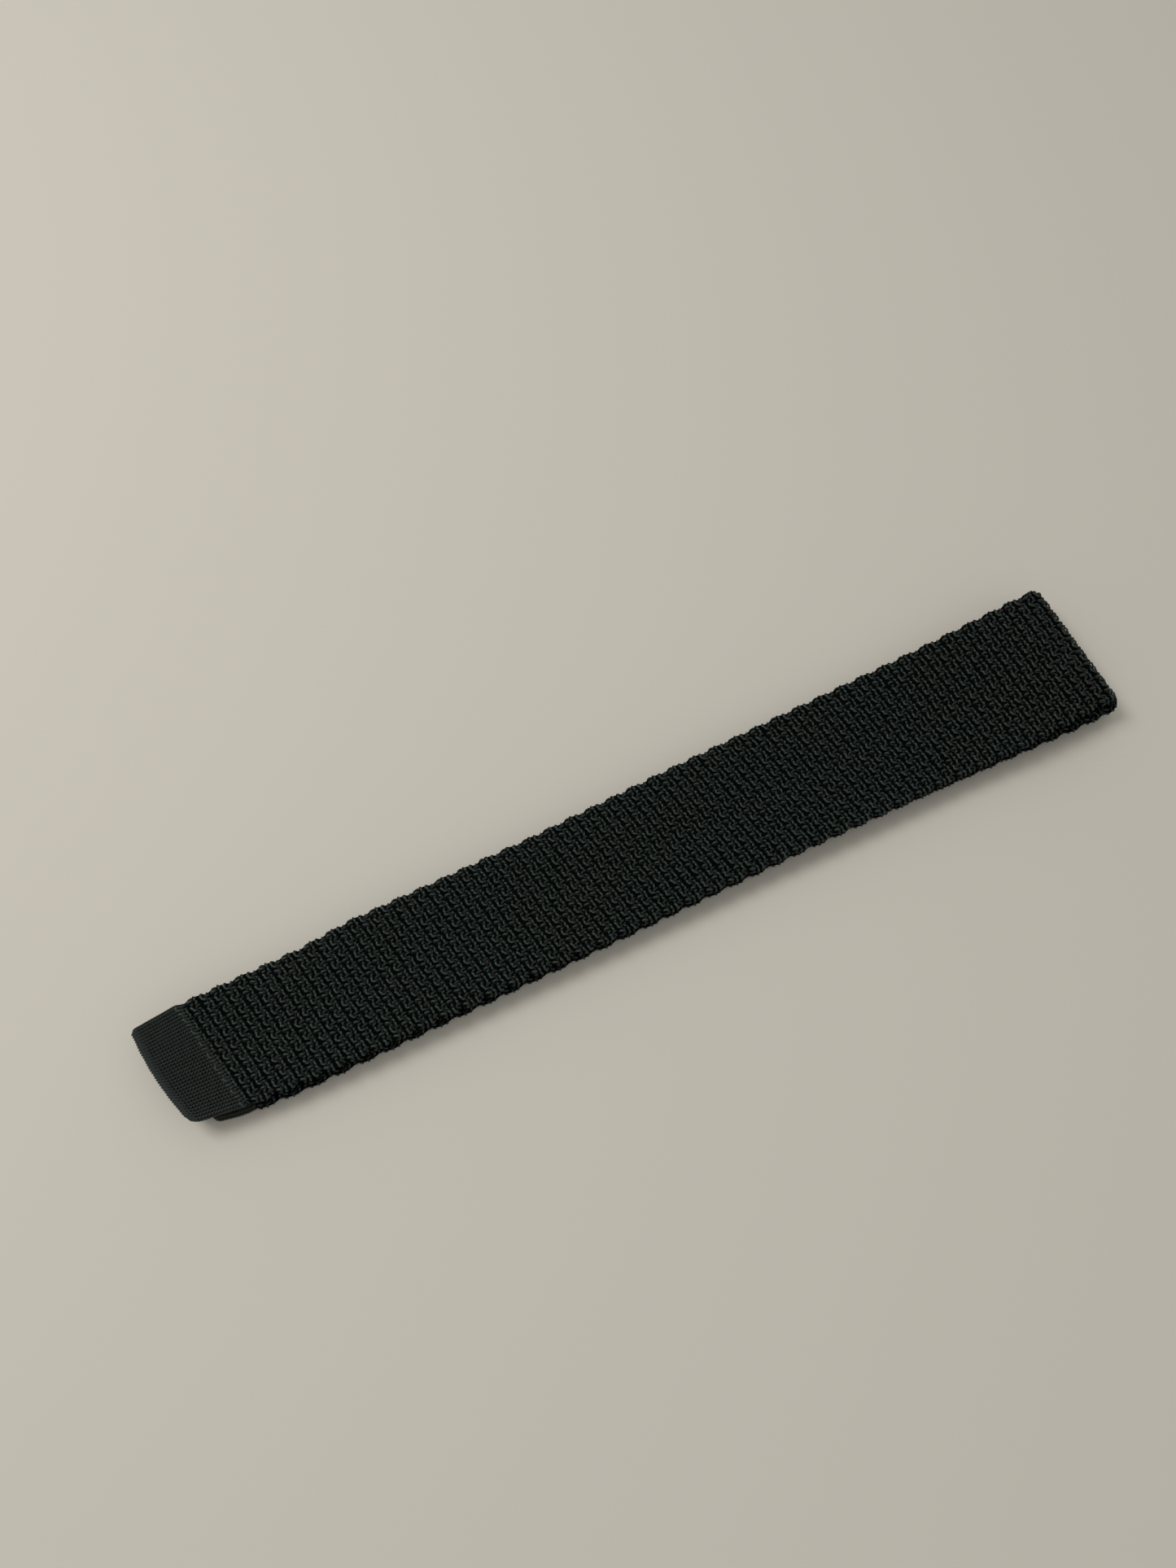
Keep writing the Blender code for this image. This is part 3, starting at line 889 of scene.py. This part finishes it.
neck_ground = ground_tube("blade_upper_ground", FOLD_A_END, BLADE_UPPER_END)
neck_knit = knit_pieces("blade_upper", FOLD_A_END, BLADE_UPPER_END, 4, *HIDDEN_KNIT)
ride_layer("blade_upper", neck_ground, neck_knit, "blade_upper_tube")

collar_ground = ground_tube("tail_upper_ground", FOLD_B_END, TAIL_UPPER_END)
collar_knit = knit_pieces("tail_upper", FOLD_B_END, TAIL_UPPER_END, 4, *HIDDEN_KNIT)
ride_layer("tail_upper", collar_ground, collar_knit, "tail_upper_tube")

tail_ground = ground_tube("tail_lower_ground", FOLD_C_END, STRIP_END)
tail_knit = knit_pieces("tail_lower", FOLD_C_END, TAIL_BAND_START, 4, *HIDDEN_KNIT)
tail_rows = STRIP_END - band_rows(0.0, STRIP_END - TAIL_BAND_START + BAND_OVERLAP)
tail_band = band_piece("tail_hem_knit", tail_rows, 0.20, TAIL_BAND)
ride_layer("tail_lower", tail_ground, [*tail_knit, tail_band], "tail_lower_tube")
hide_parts("tail_hem_band")

fold_a = fold_pieces("fold_a", BLADE_LOWER_END, FOLD_A_END, "fold_a_bend")
blend_fold(fold_a)
fold_b = fold_pieces("fold_b", BLADE_UPPER_END, FOLD_B_END, "fold_b_bend")
blend_fold(fold_b)
fold_c = fold_pieces("fold_c", TAIL_UPPER_END, FOLD_C_END, "fold_c_bend")
blend_fold(fold_c)

thread_piece("blade_hem_stitching", zigzag("blade_hem_thread", 24, -HEM_SLANT), "blade_lower",
             ["blade_hem_thread"])
thread_piece("tail_hem_stitching", zigzag("tail_hem_thread", 24, HEM_SLANT, HEM_BELLY),
             "tail_lower", ["tail_hem_thread"])
for side, body in (("blade", "blade_upper"), ("tail", "tail_upper")):
    tape_node = f"neck_tape_{side}_side"
    thread_node = f"neck_tape_thread_{side}_side"
    tape = strip_piece(f"neck_tape_on_{side}", tape_node, body, TAPE, (60, 12))
    stitching = thread_piece(f"neck_tape_stitching_{side}", zigzag(thread_node, 12), body,
                             [thread_node])

strip_piece("keeper_strap", "keeper_loop", "blade_lower", STRAP, (8, 30))
for side in ("near", "far"):
    node = f"keeper_bar_tack_{side}"
    low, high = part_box(node)
    middle = (low + high) / 2
    tack = [(low.x + TACK_MARGIN + (high.x - low.x - 2 * TACK_MARGIN) * number / TACK_STITCHES,
             middle.y + (TACK_SWING if number % 2 else -TACK_SWING), middle.z)
            for number in range(TACK_STITCHES + 1)]
    thread_piece(f"keeper_tack_{side}", tack, "blade_lower", [node], TACK_RADIUS)

# A fine filament that has come loose on the blade: place along and across the tie, and height.
loose_places = [(0.1795, 0.0004, 0.0001), (0.1818, 0.0003, 0.0006), (0.1842, -0.0001, 0.0007),
                (0.1869, -0.0001, 0.0001)]
loose_route = [(x + ORIGIN_X, y + ORIGIN_Y, BLADE_LOWER_Z + HALF + lift)
               for x, y, lift in loose_places]
thread_piece("loose_filament", loose_route, "blade_lower", [], LOOSE_RADIUS)

# A nub of yarn that stands out at fold A's far corner.
nub_places = [(0.3661, 0.0304), (0.3667, 0.0312), (0.3675, 0.0313), (0.3681, 0.0305)]
nub_route = [(x + ORIGIN_X, y + ORIGIN_Y, BLADE_LOWER_Z + FOLD_A_LIFT + NUB_HEIGHT)
             for x, y in nub_places]
thread_piece("corner_nub", nub_route, "blade_lower", [], NUB_RADIUS)

label = strip_piece("blank_care_label", "care_label", "blade_lower", LABEL, (30, 18))
label_stitching = [
    thread_piece(f"label_stitching_{end}", zigzag(f"care_label_thread_{end}", 10), "blade_lower",
                 [f"care_label_thread_{end}"]) for end in ("hem_end", "fold_end")]


# ---------------------------------------------------------------- floor, light and camera


FLOOR_SIZE = 6.0
FLOOR_Z = -0.0003
PAPER_COLOUR = (0.60, 0.57, 0.505, 1.0)
KEY_PLACE = (-0.60, 0.60, 1.20)
KEY_TARGET = (-0.10, 0.08, 0)
KEY_SIDE = 0.60
KEY_POWER = 9.5
KEY_COLOUR = (1.0, 0.985, 0.96)
WORLD_COLOUR = (1.0, 0.99, 0.96, 1.0)
WORLD_STRENGTH = 0.50
CAMERA_PLACE = (-0.0840, -0.1225, 0.4117)
CAMERA_RIGHT = (0.9006, -0.4346, 0.0)
CAMERA_AHEAD = (0.1698, 0.3519, -0.9205)
CAMERA_LENS = 27.05
CAMERA_SENSOR = 36.0


def make_stage():
    """The plain sheet that the tie lies on."""
    bpy.ops.mesh.primitive_plane_add(size=FLOOR_SIZE, location=(0, 0, FLOOR_Z))
    floor = bpy.context.object
    floor.name = "floor"
    paper, _, shader = new_material("paper")
    shader.inputs["Base Color"].default_value = PAPER_COLOUR
    shader.inputs["Roughness"].default_value = 0.85
    floor.data.materials.append(paper)


def make_lights():
    """One large soft key light, and an even pale world."""
    data = bpy.data.lights.new("key", "AREA")
    data.shape = "RECTANGLE"
    data.size = KEY_SIDE
    data.size_y = KEY_SIDE
    data.energy = KEY_POWER
    data.color = KEY_COLOUR
    key = bpy.data.objects.new("key", data)
    bpy.context.collection.objects.link(key)
    key.location = KEY_PLACE
    towards = Vector(KEY_TARGET) - Vector(KEY_PLACE)
    key.rotation_euler = towards.to_track_quat("-Z", "Y").to_euler()
    world = bpy.data.worlds.new("studio")
    world.use_nodes = True
    background = world.node_tree.nodes["Background"]
    background.inputs["Color"].default_value = WORLD_COLOUR
    background.inputs["Strength"].default_value = WORLD_STRENGTH
    bpy.context.scene.world = world


def make_camera():
    """The camera, from its place, its right-hand direction and the way it looks."""
    data = bpy.data.cameras.new("camera")
    data.lens = CAMERA_LENS
    data.sensor_width = CAMERA_SENSOR
    camera = bpy.data.objects.new("camera", data)
    bpy.context.collection.objects.link(camera)
    right = Vector(CAMERA_RIGHT).normalized()
    ahead = Vector(CAMERA_AHEAD).normalized()
    up = right.cross(ahead)
    turned = Matrix((right, up, -ahead)).transposed().to_4x4()
    camera.matrix_world = Matrix.Translation(CAMERA_PLACE) @ turned
    bpy.context.scene.camera = camera


make_stage()
make_lights()
make_camera()
bpy.context.scene.view_settings.view_transform = "Standard"
